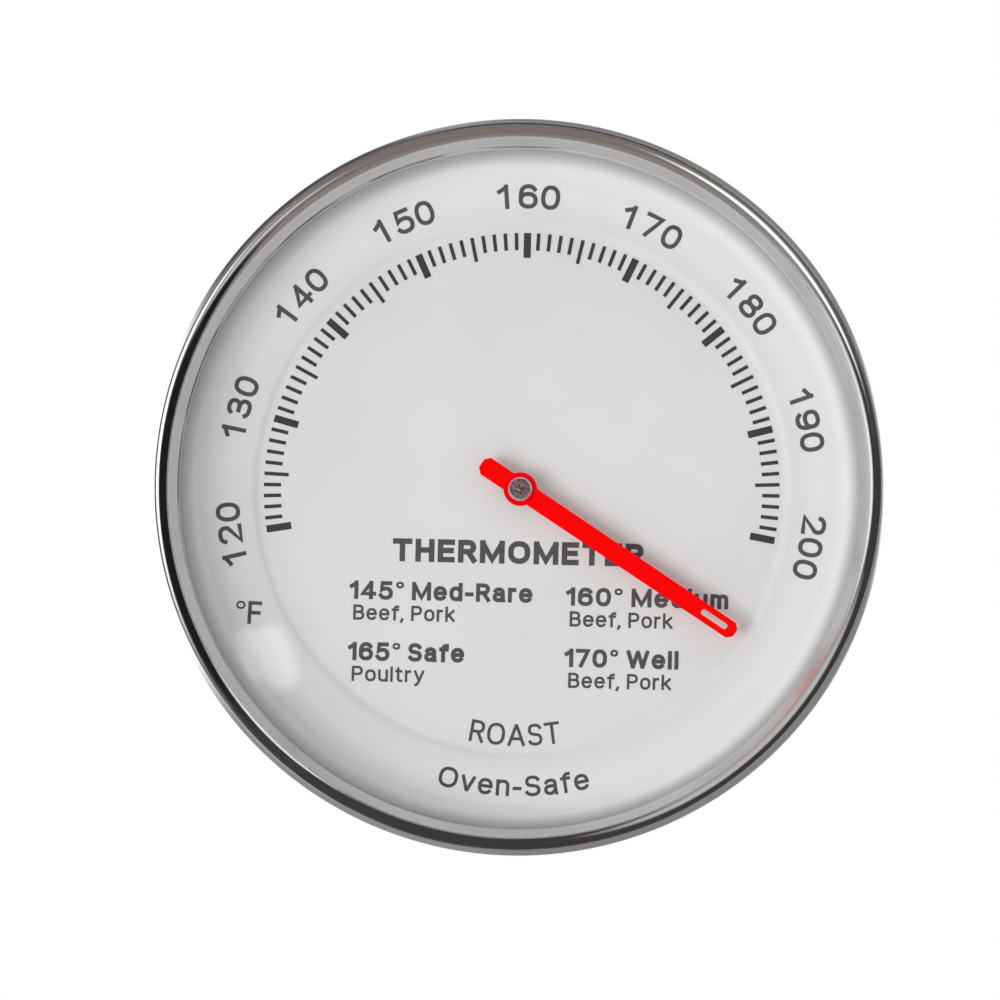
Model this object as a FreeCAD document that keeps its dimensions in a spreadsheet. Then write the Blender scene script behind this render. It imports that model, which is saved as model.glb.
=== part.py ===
import FreeCAD, Part
import math
import os
import Sketcher

# A dial thermometer for roasting, left in the food in the oven: a round glazed head on a pointed stem.
#
# Frame, in millimetres. Y is the axis of the head and the stem. The dial looks along -Y, the stem points
# along +Y, and +Z is up, through the middle of the scale. The origin is on the axis at the stem's root,
# where the bare tube leaves the collar. The pointer is drawn where it stands in a cool room.
#
# How it comes apart:
#   stem     a tube with a pressed collar and a hex nut; the coil sits in its far end
#   head     the case, dial, glass and rolled bezel; it turns stiffly on the collar to set the zero
#   pointer  the hand and its spindle, which the coil turns from inside the stem

# ---------------------------------------------------------------------------------------------------------
# Driving dimensions
# ---------------------------------------------------------------------------------------------------------
DRIVING = (
    # the head, as radii
    ("head_radius", 36.5),
    ("glass_radius", 34.9),
    ("bezel_mouth", 33.9),
    ("bezel_edge", 34.75),
    ("bezel_dome", 35.4),
    ("bezel_ridge", 35.95),
    ("case_radius", 34.6),
    ("case_corner", 2.5),
    ("flange_radius", 35.85),
    ("boss_radius", 10.0),
    # the head, along the axis
    ("bezel_rise", 1.7),
    ("crown_rise", 0.5),
    ("flank_fall", 0.95),
    ("dome_fall", 0.05),
    ("mouth_sheet", 0.56),
    ("crimp_overlap", 0.45),
    ("glass_thickness", 2.0),
    ("glass_bevel", 0.25),
    ("gasket_thickness", 0.8),
    ("gasket_inset", 0.2),
    ("boss_height", 1.0),
    ("dial_depth", 4.6),
    ("dial_standoff", 5.15),
    ("bezel_sheet", 0.5),
    ("case_sheet", 0.5),
    ("dial_sheet", 0.4),
    # the dial
    ("scale_crease", 26.3),
    ("band_crease", 33.0),
    ("dial_mouth", 33.75),
    ("band_rise", 0.95),
    ("step_rise", 0.35),
    ("wall_across", 0.31),
    ("wall_sweep", 2.2),
    ("dial_hole", 1.5),
    # the pointer
    ("pointer_length", 25.8),
    ("pointer_tail", 4.65),
    ("pointer_root_width", 1.95),
    ("pointer_tip_width", 1.78),
    ("pointer_corner", 0.5),
    ("pointer_sheet", 0.35),
    ("pointer_height", 1.8),
    ("hub_radius", 1.68),
    ("slot_start", 21.8),
    ("slot_end", 24.8),
    ("slot_width", 0.6),
    ("rest_angle", 32.5),
    ("spindle_radius", 0.5),
    ("bush_radius", 0.85),
    ("bush_head", 1.2),
    ("bush_shoulder", 1.35),
    ("bush_proud", 0.45),
    ("spindle_proud", 0.6),
    # the stem
    ("stem_length", 114.3),
    ("stem_radius", 2.0),
    ("seat_radius", 1.82),
    ("tube_wall", 0.35),
    ("point_length", 8.0),
    ("spigot_length", 2.4),
    ("point_radius", 0.3),
    ("collar_radius", 3.0),
    ("collar_flange", 4.6),
    ("collar_proud", 0.6),
    ("nut_flats", 11.0),
    ("nut_thickness", 4.5),
    ("seal_thickness", 0.8),
    ("seal_radius", 6.6),
    ("friction_thickness", 0.4),
    ("spring_height", 0.6),
    ("spring_sheet", 0.3),
    ("flange_thickness", 0.8),
    ("running_gap", 0.05),
    ("end_gap", 0.2),
    ("guide_flange", 0.6),
    ("guide_length", 4.0),
    ("coil_collar_length", 2.6),
    ("coil_anchor_length", 2.6),
    # the sensing coil
    ("coil_top", 74.3),
    ("coil_length", 26.4),
    ("coil_radius", 1.15),
    ("coil_strip", 0.2),
    ("coil_width", 0.95),
    ("coil_pitch", 1.2),
)

doc = FreeCAD.newDocument("roasting_thermometer")
sheet = doc.addObject("Spreadsheet::Sheet", "Sizes")


class Size:
    """A number that remembers its formula in the sheet's cells, so that a drawing can be bound to it."""

    def __init__(self, formula, number):
        self.formula = formula
        self.number = number

    def joined(self, sign, other, number):
        return Size(f"({self.formula} {sign} {written(other)})", number)

    def __add__(self, other):
        return self.joined("+", other, self.number + plain(other))

    def __sub__(self, other):
        return self.joined("-", other, self.number - plain(other))

    def __mul__(self, other):
        return self.joined("*", other, self.number * plain(other))

    def __truediv__(self, other):
        return self.joined("/", other, self.number / plain(other))

    def __neg__(self):
        return Size(f"(0 - {self.formula})", -self.number)


def plain(size):
    """The number in a Size or a plain number."""
    return size.number if isinstance(size, Size) else size


def written(size):
    """The formula of a Size or a plain number."""
    return size.formula if isinstance(size, Size) else f"({size:.6f})"


def fill_sheet():
    """Writes the driving dimensions into the sheet and returns each one as a Size, by its alias."""
    sizes = {}
    for row, (alias, number) in enumerate(DRIVING, start=1):
        sheet.set(f"A{row}", alias)
        sheet.set(f"B{row}", str(number))
        sheet.setAlias(f"B{row}", alias)
        sizes[alias] = Size(f"Sizes.{alias}", number)
    doc.recompute()
    return sizes


S = fill_sheet()

# ---------------------------------------------------------------------------------------------------------
# Places along the axis, from the stem's root forwards
# ---------------------------------------------------------------------------------------------------------
NUT_BACK = -S["collar_proud"]
NUT_FRONT = NUT_BACK - S["nut_thickness"]
SEAL_FRONT = NUT_FRONT - S["seal_thickness"]
BOSS_BACK = SEAL_FRONT - S["running_gap"]
BOSS_FLOOR = BOSS_BACK - S["case_sheet"]
FRICTION_FRONT = BOSS_FLOOR - S["friction_thickness"]
SPRING_BACK = FRICTION_FRONT - S["running_gap"]
SPRING_FRONT = SPRING_BACK - S["spring_height"]
COLLAR_FRONT = SPRING_FRONT - S["flange_thickness"]
CASE_BACK = BOSS_BACK - S["boss_height"]
CASE_FLOOR = CASE_BACK - S["case_sheet"]
DIAL_FACE = BOSS_FLOOR - S["dial_standoff"]
FLANGE_FRONT = DIAL_FACE + S["dial_sheet"] - S["dial_depth"] + S["band_rise"]
DIAL_RIM = FLANGE_FRONT - S["dial_sheet"]
GLASS_BACK = DIAL_RIM - S["gasket_thickness"]
GLASS_FRONT = GLASS_BACK - S["glass_thickness"]
BEZEL_EDGE_PLACE = GLASS_FRONT - S["bezel_rise"]
CROWN = BEZEL_EDGE_PLACE - S["crown_rise"]
FLANGE_BACK = FLANGE_FRONT + S["case_sheet"]
CRIMP_BACK = FLANGE_BACK + S["bezel_sheet"]
POINTER_BACK = DIAL_FACE - S["pointer_height"]
POINTER_FRONT = POINTER_BACK - S["pointer_sheet"]
TUBE_END = S["stem_length"] - S["point_length"]
TUBE_BORE = S["stem_radius"] - S["tube_wall"]
COIL_END = S["coil_top"] + S["coil_length"]


# ---------------------------------------------------------------------------------------------------------
# Drawing
# ---------------------------------------------------------------------------------------------------------
def new_body(name):
    body = doc.addObject("PartDesign::Body", name)
    body.Label = name
    return body


def new_sketch(body, name, role, forward=None):
    """A sketch on one of the body's origin planes; on XZ_Plane, forward is its distance along -Y."""
    sketch = body.newObject("Sketcher::SketchObject", f"{body.Name}_{name}")
    plane = next(feature for feature in body.Origin.OriginFeatures if feature.Role == role)
    sketch.AttachmentSupport = [(plane, "")]
    sketch.MapMode = "FlatFace"
    if forward is not None:
        sketch.setExpression("AttachmentOffset.Base.z", forward.formula)
    return sketch


def pin_point(sketch, geometry, end, across, along):
    """Holds one point of a sketch at two Sizes, or on an axis where a distance is 0."""
    for kind, distance, axis in (("DistanceX", across, -2), ("DistanceY", along, -1)):
        if not isinstance(distance, Size) and distance == 0:
            sketch.addConstraint(Sketcher.Constraint("PointOnObject", geometry, end, axis))
            continue
        held = Sketcher.Constraint(kind, -1, 1, geometry, end, plain(distance))
        index = sketch.addConstraint(held)
        if isinstance(distance, Size):
            sketch.setExpression(f"Constraints[{index}]", distance.formula)


def draw_round(sketch, lines, corner, ends, radius):
    """Rounds the corner between two lines of an outline with a tangent arc bound to its radius."""
    into, out = lines
    start, stop = ends
    back = start - corner
    ahead = stop - corner
    middle = (back + ahead).normalize()
    half_turn = back.getAngle(ahead) / 2
    centre = corner + middle * (plain(radius) / math.sin(half_turn))
    turns_left = back.cross(ahead).z < 0
    first, last = (start, stop) if turns_left else (stop, start)
    angles = [math.atan2(end.y - centre.y, end.x - centre.x) for end in (first, last)]
    if angles[1] < angles[0]:
        angles[1] += 2 * math.pi
    circle = Part.Circle(centre, FreeCAD.Vector(0, 0, 1), plain(radius))
    arc = sketch.addGeometry(Part.ArcOfCircle(circle, *angles), False)
    near, far = (1, 2) if turns_left else (2, 1)
    sketch.addConstraint(Sketcher.Constraint("Tangent", into, 2, arc, near))
    sketch.addConstraint(Sketcher.Constraint("Tangent", arc, far, out, 1))
    index = sketch.addConstraint(Sketcher.Constraint("Radius", arc, plain(radius)))
    if isinstance(radius, Size):
        sketch.setExpression(f"Constraints[{index}]", radius.formula)


def draw_outline(sketch, corners):
    """A closed outline through corners, each (across, along) or (across, along, radius of its round)."""
    points = [FreeCAD.Vector(plain(corner[0]), plain(corner[1]), 0) for corner in corners]
    count = len(corners)
    ends = []
    for index, (corner, point) in enumerate(zip(corners, points)):
        back = (points[index - 1] - point).normalize()
        ahead = (points[(index + 1) % count] - point).normalize()
        trim = plain(corner[2]) / math.tan(back.getAngle(ahead) / 2) if len(corner) > 2 else 0
        ends.append((point + back * trim, point + ahead * trim))
    lines = []
    for index in range(count):
        stretch = Part.LineSegment(ends[index][1], ends[(index + 1) % count][0])
        lines.append(sketch.addGeometry(stretch, False))
    for index, (corner, point) in enumerate(zip(corners, points)):
        into, out = lines[index - 1], lines[index]
        if len(corner) == 2:
            sketch.addConstraint(Sketcher.Constraint("Coincident", into, 2, out, 1))
            pin_point(sketch, out, 1, *corner)
            continue
        mark = sketch.addGeometry(Part.Point(point), True)
        pin_point(sketch, mark, 1, *corner[:2])
        for line in (into, out):
            sketch.addConstraint(Sketcher.Constraint("PointOnObject", mark, 1, line))
        draw_round(sketch, (into, out), point, ends[index], corner[2])


def behind(front, index, gauge):
    """The point gauge behind a corner of a sheet's front outline, where the backs of its two runs meet."""
    nearby = front[index - 1 : index + 2]
    before, corner, after = (FreeCAD.Vector(plain(p[0]), plain(p[1]), 0) for p in nearby)
    forward = FreeCAD.Vector(0, 0, -1)
    first = (corner - before).normalize().cross(forward)
    second = (after - corner).normalize().cross(forward)
    offset = (first + second) * (plain(gauge) / (1 + first.dot(second)))
    return front[index][0] + offset.x, front[index][1] + offset.y


def draw_circle(sketch, radius):
    """A circle round the sketch's origin."""
    centre = FreeCAD.Vector(0, 0, 0)
    ring = sketch.addGeometry(Part.Circle(centre, FreeCAD.Vector(0, 0, 1), plain(radius)), False)
    sketch.addConstraint(Sketcher.Constraint("Coincident", ring, 3, -1, 1))
    index = sketch.addConstraint(Sketcher.Constraint("Radius", ring, plain(radius)))
    sketch.setExpression(f"Constraints[{index}]", radius.formula)


def turned(name, corners):
    """A body turned about Y from a half outline, whose corners are (radius, place along Y[, round])."""
    body = new_body(name)
    sketch = new_sketch(body, "outline", "XY_Plane")
    draw_outline(sketch, corners)
    lathe = body.newObject("PartDesign::Revolution", f"{name}_turned")
    lathe.Profile = sketch
    lathe.ReferenceAxis = (sketch, ["V_Axis"])
    lathe.Angle = 360
    doc.recompute()
    return body


def ring(name, bore, radius, front, back):
    """A plain turned ring or sleeve."""
    return turned(name, ((bore, front), (radius, front), (radius, back), (bore, back)))


def pad(body, sketch, name, length):
    feature = body.newObject("PartDesign::Pad", f"{body.Name}_{name}")
    feature.Profile = sketch
    feature.setExpression("Length", length.formula)
    doc.recompute()
    return feature


def pocket(body, sketch, name):
    """Cuts a sketch through everything, both ways, and makes sure that it did cut."""
    before = body.Shape.Volume
    feature = body.newObject("PartDesign::Pocket", f"{body.Name}_{name}")
    feature.Profile = sketch
    feature.Type = "ThroughAll"
    feature.Midplane = True
    doc.recompute()
    if not body.Shape.Volume < before:
        raise RuntimeError(f"{feature.Name} cuts nothing")
    return feature


# ---------------------------------------------------------------------------------------------------------
# The head
# ---------------------------------------------------------------------------------------------------------
def make_case_cup():
    """A drawn pan: a flange that the bezel grips, a wall, and a back with a raised boss at its middle."""
    sheet_gauge = S["case_sheet"]
    outside = S["case_radius"]
    inside = outside - sheet_gauge
    hole = S["collar_radius"] + S["running_gap"]
    corner = S["case_corner"]
    slope = S["boss_radius"] + S["boss_height"]
    return turned(
        "case_cup",
        (
            (hole, BOSS_FLOOR),
            (S["boss_radius"], BOSS_FLOOR, 0.4),
            (slope, CASE_FLOOR, 0.9),
            (inside, CASE_FLOOR, corner),
            (inside, FLANGE_FRONT, 0.3),
            (S["flange_radius"], FLANGE_FRONT),
            (S["flange_radius"], FLANGE_BACK),
            (outside, FLANGE_BACK, 0.4),
            (outside, CASE_BACK, sheet_gauge + corner),
            (slope + 0.2, CASE_BACK, 0.4),
            (S["boss_radius"] + 0.2, BOSS_BACK, 0.9),
            (hole, BOSS_BACK),
        ),
    )


def make_bezel_ring():
    """A rolled ring: an inner face down to the glass, a domed crown, a flank, and a crimp behind."""
    gauge = S["bezel_sheet"]
    outside = S["head_radius"]
    inside = outside - gauge
    crimp = S["case_radius"] + S["crimp_overlap"]
    flank_place = CROWN + S["flank_fall"]
    front = (
        (S["bezel_mouth"], GLASS_FRONT),
        (S["bezel_edge"], BEZEL_EDGE_PLACE, 1.5),
        (S["bezel_dome"], CROWN + S["dome_fall"], 1.4),
        (S["bezel_ridge"], CROWN, 0.12),
        (outside, flank_place, 0.7),
        (outside, CRIMP_BACK, 0.75),
    )
    return turned(
        "bezel_ring",
        front
        + (
            (crimp, CRIMP_BACK),
            (crimp, FLANGE_BACK),
            (inside, FLANGE_BACK, 0.1),
            (inside, flank_place, 0.3),
            behind(front, 3, gauge),
            behind(front, 2, gauge),
            behind(front, 1, gauge),
            (S["bezel_mouth"] + S["mouth_sheet"], GLASS_FRONT),
        ),
    )


def make_lens():
    """The flat glass, with small ground bevels."""
    bevel = S["glass_bevel"]
    radius = S["glass_radius"]
    return turned(
        "lens",
        (
            (0, GLASS_FRONT),
            (radius - bevel, GLASS_FRONT),
            (radius, GLASS_FRONT + bevel),
            (radius, GLASS_BACK - bevel),
            (radius - bevel, GLASS_BACK),
            (0, GLASS_BACK),
        ),
    )


def make_lens_gasket():
    """An L-section ring under and around the glass."""
    bore = S["dial_mouth"] + S["gasket_inset"]
    lip = S["glass_radius"] + 0.05
    lip_front = GLASS_FRONT + 0.3
    outside = S["head_radius"] - S["bezel_sheet"] - 0.1
    return turned(
        "lens_gasket",
        (
            (bore, GLASS_BACK),
            (lip, GLASS_BACK),
            (lip, lip_front),
            (outside, lip_front, 0.2),
            (outside, DIAL_RIM),
            (bore, DIAL_RIM),
        ),
    )


def make_dial_plate():
    """A pressed dish: a flat middle, a soft step up to the number band, and a swept wall to the rim."""
    gauge = S["dial_sheet"]
    step = S["step_rise"]
    sweep = S["wall_sweep"]
    front = (
        (S["dial_hole"], DIAL_FACE),
        (S["scale_crease"], DIAL_FACE, 1.2),
        (S["scale_crease"] + step + step, DIAL_FACE - step, 1.2),
        (S["band_crease"], DIAL_FACE - S["band_rise"], sweep),
        (S["dial_mouth"], DIAL_RIM, 0.5),
    )
    return turned(
        "dial_plate",
        front
        + (
            (S["glass_radius"], DIAL_RIM),
            (S["glass_radius"], FLANGE_FRONT),
            (S["dial_mouth"] + S["wall_across"], FLANGE_FRONT, 0.12),
            behind(front, 3, gauge) + (sweep + gauge,),
            behind(front, 2, gauge) + (0.8,),
            behind(front, 1, gauge) + (0.8,),
            (S["dial_hole"], DIAL_FACE + gauge),
        ),
    )


# ---------------------------------------------------------------------------------------------------------
# The pointer and its spindle
# ---------------------------------------------------------------------------------------------------------
def make_pointer():
    """A flat hand with clipped corners, a slot near its tip and a round eye at its pivot."""
    body = new_body("pointer")
    root = S["pointer_root_width"] / 2
    tip = S["pointer_tip_width"] / 2
    corner = S["pointer_corner"]
    hand = new_sketch(body, "hand", "XZ_Plane", -POINTER_BACK)
    draw_outline(
        hand,
        (
            (-S["pointer_tail"], corner - root),
            (corner - S["pointer_tail"], -root),
            (S["pointer_length"] - corner, -tip),
            (S["pointer_length"], corner - tip),
            (S["pointer_length"], tip - corner),
            (S["pointer_length"] - corner, tip),
            (corner - S["pointer_tail"], root),
            (-S["pointer_tail"], root - corner),
        ),
    )
    pad(body, hand, "blade", S["pointer_sheet"])
    eye = new_sketch(body, "eye", "XZ_Plane", -POINTER_BACK)
    draw_circle(eye, S["hub_radius"])
    pad(body, eye, "hub", S["pointer_sheet"])
    half = S["slot_width"] / 2
    slot_round = 0.25
    slot = new_sketch(body, "slot", "XZ_Plane", -POINTER_BACK)
    draw_outline(
        slot,
        (
            (S["slot_start"], -half, slot_round),
            (S["slot_end"], -half, slot_round),
            (S["slot_end"], half, slot_round),
            (S["slot_start"], half, slot_round),
        ),
    )
    pocket(body, slot, "slotted")
    hole = new_sketch(body, "hole", "XZ_Plane", -POINTER_BACK)
    draw_circle(hole, S["bush_radius"])
    pocket(body, hole, "pierced")
    body.Placement = FreeCAD.Placement(FreeCAD.Vector(), FreeCAD.Rotation(FreeCAD.Vector(0, 1, 0), 1))
    body.setExpression("Placement.Rotation.Angle", S["rest_angle"].formula)
    doc.recompute()
    return body


def make_pointer_bush():
    """The turned bush that the hand is riveted to: a shoulder behind it and a spread head in front."""
    bore = S["spindle_radius"]
    barrel = S["bush_radius"]
    head = S["bush_head"]
    head_front = POINTER_FRONT - S["bush_proud"]
    shoulder = S["bush_shoulder"]
    shoulder_back = POINTER_BACK + 0.7
    back = DIAL_FACE + S["dial_sheet"] + 0.6
    return turned(
        "pointer_bush",
        (
            (bore, head_front),
            (head - 0.15, head_front, 0.08),
            (head, POINTER_FRONT - 0.2, 0.1),
            (head, POINTER_FRONT),
            (barrel, POINTER_FRONT),
            (barrel, POINTER_BACK),
            (shoulder, POINTER_BACK),
            (shoulder, shoulder_back),
            (barrel, shoulder_back),
            (barrel, back),
            (bore, back),
        ),
    )


def make_spindle():
    """The long wire from the pointer down to the coil, with rounded ends."""
    radius = S["spindle_radius"]
    front = POINTER_FRONT - S["spindle_proud"]
    back = S["coil_top"] - 0.3
    rounding = 0.2
    return turned(
        "spindle",
        (
            (0, front),
            (radius, front, rounding),
            (radius, back, rounding),
            (0, back),
        ),
    )


def make_thrust_collar():
    """The collar crimped on the spindle, which bears on the upper guide bush."""
    back = COLLAR_FRONT - S["guide_flange"] - S["end_gap"]
    length = 0.7
    return ring("thrust_collar", S["spindle_radius"], S["bush_radius"] * 1.4, back - length, back)


def make_coil_collar():
    """The collar at the spindle's far end, which carries the coil's near end."""
    end = S["coil_top"] - S["end_gap"]
    start = end - S["coil_collar_length"]
    return ring("coil_collar", S["spindle_radius"], S["coil_radius"] + 0.2, start, end)


# ---------------------------------------------------------------------------------------------------------
# The stem
# ---------------------------------------------------------------------------------------------------------
def make_stem_tube():
    """The tube, turned down at its near end to a shoulder that the collar is pressed up to."""
    return turned(
        "stem_tube",
        (
            (TUBE_BORE, COLLAR_FRONT),
            (S["seat_radius"], COLLAR_FRONT),
            (S["seat_radius"], 0),
            (S["stem_radius"], 0),
            (S["stem_radius"], TUBE_END),
            (TUBE_BORE, TUBE_END),
        ),
    )


def make_stem_tip():
    """The pointed plug in the tube's far end."""
    spigot = TUBE_END - S["spigot_length"]
    return turned(
        "stem_tip",
        (
            (0, spigot),
            (TUBE_BORE, spigot),
            (TUBE_BORE, TUBE_END),
            (S["stem_radius"], TUBE_END, 0.2),
            (S["point_radius"], S["stem_length"], S["point_radius"]),
            (0, S["stem_length"]),
        ),
    )


def make_collar():
    """The shouldered sleeve that is pressed on the tube and holds the head and the nut."""
    bevel = 0.2
    return turned(
        "stem_collar",
        (
            (S["seat_radius"], COLLAR_FRONT),
            (S["collar_flange"], COLLAR_FRONT, 0.15),
            (S["collar_flange"], SPRING_FRONT),
            (S["collar_radius"], SPRING_FRONT),
            (S["collar_radius"], -bevel),
            (S["collar_radius"] - bevel, 0),
            (S["seat_radius"], 0),
        ),
    )


def make_calibration_nut():
    """A hex nut with both ends' corners turned down, held with a wrench while the head is turned."""
    body = new_body("calibration_nut")
    hexagon = new_sketch(body, "hexagon", "XZ_Plane", -NUT_BACK)
    flats = S["nut_flats"]
    point = flats / math.sqrt(3)
    draw_outline(
        hexagon,
        (
            (point, 0),
            (point / 2, flats / 2),
            (-point / 2, flats / 2),
            (-point, 0),
            (-point / 2, -flats / 2),
            (point / 2, -flats / 2),
        ),
    )
    pad(body, hexagon, "prism", S["nut_thickness"])
    hole = new_sketch(body, "hole", "XZ_Plane", -NUT_BACK)
    draw_circle(hole, S["collar_radius"])
    pocket(body, hole, "bored")
    before = body.Shape.Volume
    bevel_start = flats / 2 - 0.1
    beyond = point + 0.5
    bevel_fall = 0.6
    clear = 0.4
    for name, face, inward in (("front", NUT_FRONT, 1), ("back", NUT_BACK, -1)):
        sketch = new_sketch(body, f"{name}_bevel", "XY_Plane")
        draw_outline(
            sketch,
            (
                (bevel_start, face - inward * clear),
                (bevel_start, face),
                (beyond, face + inward * bevel_fall),
                (beyond, face - inward * clear),
            ),
        )
        groove = body.newObject("PartDesign::Groove", f"{name}_bevelled")
        groove.Profile = sketch
        groove.ReferenceAxis = (sketch, ["V_Axis"])
        groove.Angle = 360
        doc.recompute()
    if not body.Shape.Volume < before:
        raise RuntimeError("the nut's bevels cut nothing")
    return body


def make_seal_washer():
    """The soft washer between the nut and the case."""
    return ring("seal_washer", S["collar_radius"], S["seal_radius"], SEAL_FRONT, NUT_FRONT)


def make_friction_washer():
    """The washer on the case's floor, which turns with the head."""
    bore = S["collar_radius"] + S["running_gap"]
    return ring("friction_washer", bore, S["seal_radius"], FRICTION_FRONT, BOSS_FLOOR)


def make_spring_washer():
    """A coned spring washer between the collar's flange and the friction washer."""
    bore = S["collar_radius"] + S["end_gap"]
    rim = S["seal_radius"] - 0.6
    return turned(
        "spring_washer",
        (
            (bore, SPRING_FRONT),
            (bore, SPRING_FRONT + S["spring_sheet"]),
            (rim, SPRING_BACK),
            (rim, SPRING_BACK - S["spring_sheet"]),
        ),
    )


def make_upper_bush():
    """The flanged guide bush in the tube's near end."""
    bore = S["spindle_radius"] + S["running_gap"]
    flange = S["stem_radius"] + S["guide_flange"]
    flange_front = COLLAR_FRONT - S["guide_flange"]
    back = COLLAR_FRONT + 5
    return turned(
        "upper_guide_bush",
        (
            (bore, flange_front),
            (flange, flange_front),
            (flange, COLLAR_FRONT),
            (TUBE_BORE, COLLAR_FRONT),
            (TUBE_BORE, back),
            (bore, back),
        ),
    )


def make_guide_bush(name, place):
    """A plain guide bush pressed into the tube, with its near end at place."""
    bore = S["spindle_radius"] + S["running_gap"]
    return ring(name, bore, TUBE_BORE, place, place + S["guide_length"])


def make_coil_anchor():
    """The plug that the coil's far end is welded to."""
    spigot = S["coil_radius"] - S["coil_strip"] / 2 - 0.1
    near = COIL_END - 1.5
    far = COIL_END + S["coil_anchor_length"]
    return turned(
        "coil_anchor",
        (
            (0, near),
            (spigot, near),
            (spigot, COIL_END),
            (TUBE_BORE, COIL_END),
            (TUBE_BORE, far),
            (0, far),
        ),
    )


def make_bimetal_coil():
    """The bimetal strip, wound on edge into a long helix."""
    body = new_body("bimetal_coil")
    section = new_sketch(body, "section", "XY_Plane")
    inner = S["coil_radius"] - S["coil_strip"] / 2
    outer = S["coil_radius"] + S["coil_strip"] / 2
    near = S["coil_top"]
    draw_outline(
        section,
        (
            (inner, near),
            (outer, near),
            (outer, near + S["coil_width"]),
            (inner, near + S["coil_width"]),
        ),
    )
    helix = body.newObject("PartDesign::AdditiveHelix", "bimetal_coil_wound")
    helix.Profile = section
    helix.ReferenceAxis = (section, ["V_Axis"])
    helix.Mode = 0
    helix.setExpression("Pitch", S["coil_pitch"].formula)
    helix.setExpression("Height", (S["coil_length"] - S["coil_width"]).formula)
    doc.recompute()
    return body


def check_document(bodies):
    """Stops if any object failed or any body is not one sound solid."""
    for thing in doc.Objects:
        if "Invalid" in thing.State or "Error" in thing.State:
            raise RuntimeError(f"{thing.Name}: {thing.State}")
        if thing.TypeId == "Sketcher::SketchObject" and not thing.FullyConstrained:
            raise RuntimeError(f"{thing.Name} is loose")
    for body in bodies:
        shape = body.Shape
        if shape.isNull() or not shape.isValid() or len(shape.Solids) != 1:
            raise RuntimeError(f"{body.Label} is not one sound solid")


def main():
    bodies = [
        make_case_cup(),
        make_bezel_ring(),
        make_lens(),
        make_lens_gasket(),
        make_dial_plate(),
        make_friction_washer(),
        make_pointer(),
        make_pointer_bush(),
        make_spindle(),
        make_thrust_collar(),
        make_coil_collar(),
        make_stem_tube(),
        make_stem_tip(),
        make_collar(),
        make_calibration_nut(),
        make_seal_washer(),
        make_spring_washer(),
        make_upper_bush(),
        make_guide_bush("middle_guide_bush", S["coil_top"] / 2),
        make_guide_bush("lower_guide_bush", S["coil_top"] - 8),
        make_coil_anchor(),
        make_bimetal_coil(),
    ]
    doc.recompute()
    check_document(bodies)
    os.makedirs("parts", exist_ok=True)
    for body in bodies:
        body.Shape.exportStep(f"parts/{body.Label}.step")
        print(f"{body.Label}: {body.Shape.Volume:.2f} mm3")


main()
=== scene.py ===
"""A dial roasting thermometer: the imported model's finishes, the print on its dial, and the studio.

Everything stands in the model's own frame, in metres: the stem runs along +Y, the dial looks
along -Y and +Z is the top of the scale. Sizes written below in millimetres are turned into
metres by MM.
"""
import math

import bmesh
import bpy
from mathutils import Matrix, Quaternion, Vector
from mathutils.bvhtree import BVHTree


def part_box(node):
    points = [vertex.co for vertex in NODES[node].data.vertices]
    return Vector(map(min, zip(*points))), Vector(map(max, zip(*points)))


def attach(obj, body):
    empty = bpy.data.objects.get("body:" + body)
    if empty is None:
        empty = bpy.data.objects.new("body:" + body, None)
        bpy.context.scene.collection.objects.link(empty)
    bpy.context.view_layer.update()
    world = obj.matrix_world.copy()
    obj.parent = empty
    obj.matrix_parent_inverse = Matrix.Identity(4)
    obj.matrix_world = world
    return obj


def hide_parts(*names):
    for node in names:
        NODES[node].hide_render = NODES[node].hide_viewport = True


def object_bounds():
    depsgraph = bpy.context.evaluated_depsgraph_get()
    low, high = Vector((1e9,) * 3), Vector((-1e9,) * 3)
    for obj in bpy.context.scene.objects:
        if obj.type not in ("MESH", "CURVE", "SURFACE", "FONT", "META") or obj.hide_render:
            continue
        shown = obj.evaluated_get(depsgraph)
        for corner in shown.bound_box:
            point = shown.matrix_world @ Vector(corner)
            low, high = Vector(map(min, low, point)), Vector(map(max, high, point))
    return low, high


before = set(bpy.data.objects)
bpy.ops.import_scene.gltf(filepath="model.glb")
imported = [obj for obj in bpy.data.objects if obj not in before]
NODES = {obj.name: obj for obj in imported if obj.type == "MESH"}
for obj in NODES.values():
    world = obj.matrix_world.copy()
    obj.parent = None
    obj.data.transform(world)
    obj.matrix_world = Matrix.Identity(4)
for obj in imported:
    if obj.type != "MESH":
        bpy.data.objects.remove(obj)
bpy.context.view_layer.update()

MM = 0.001


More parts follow.
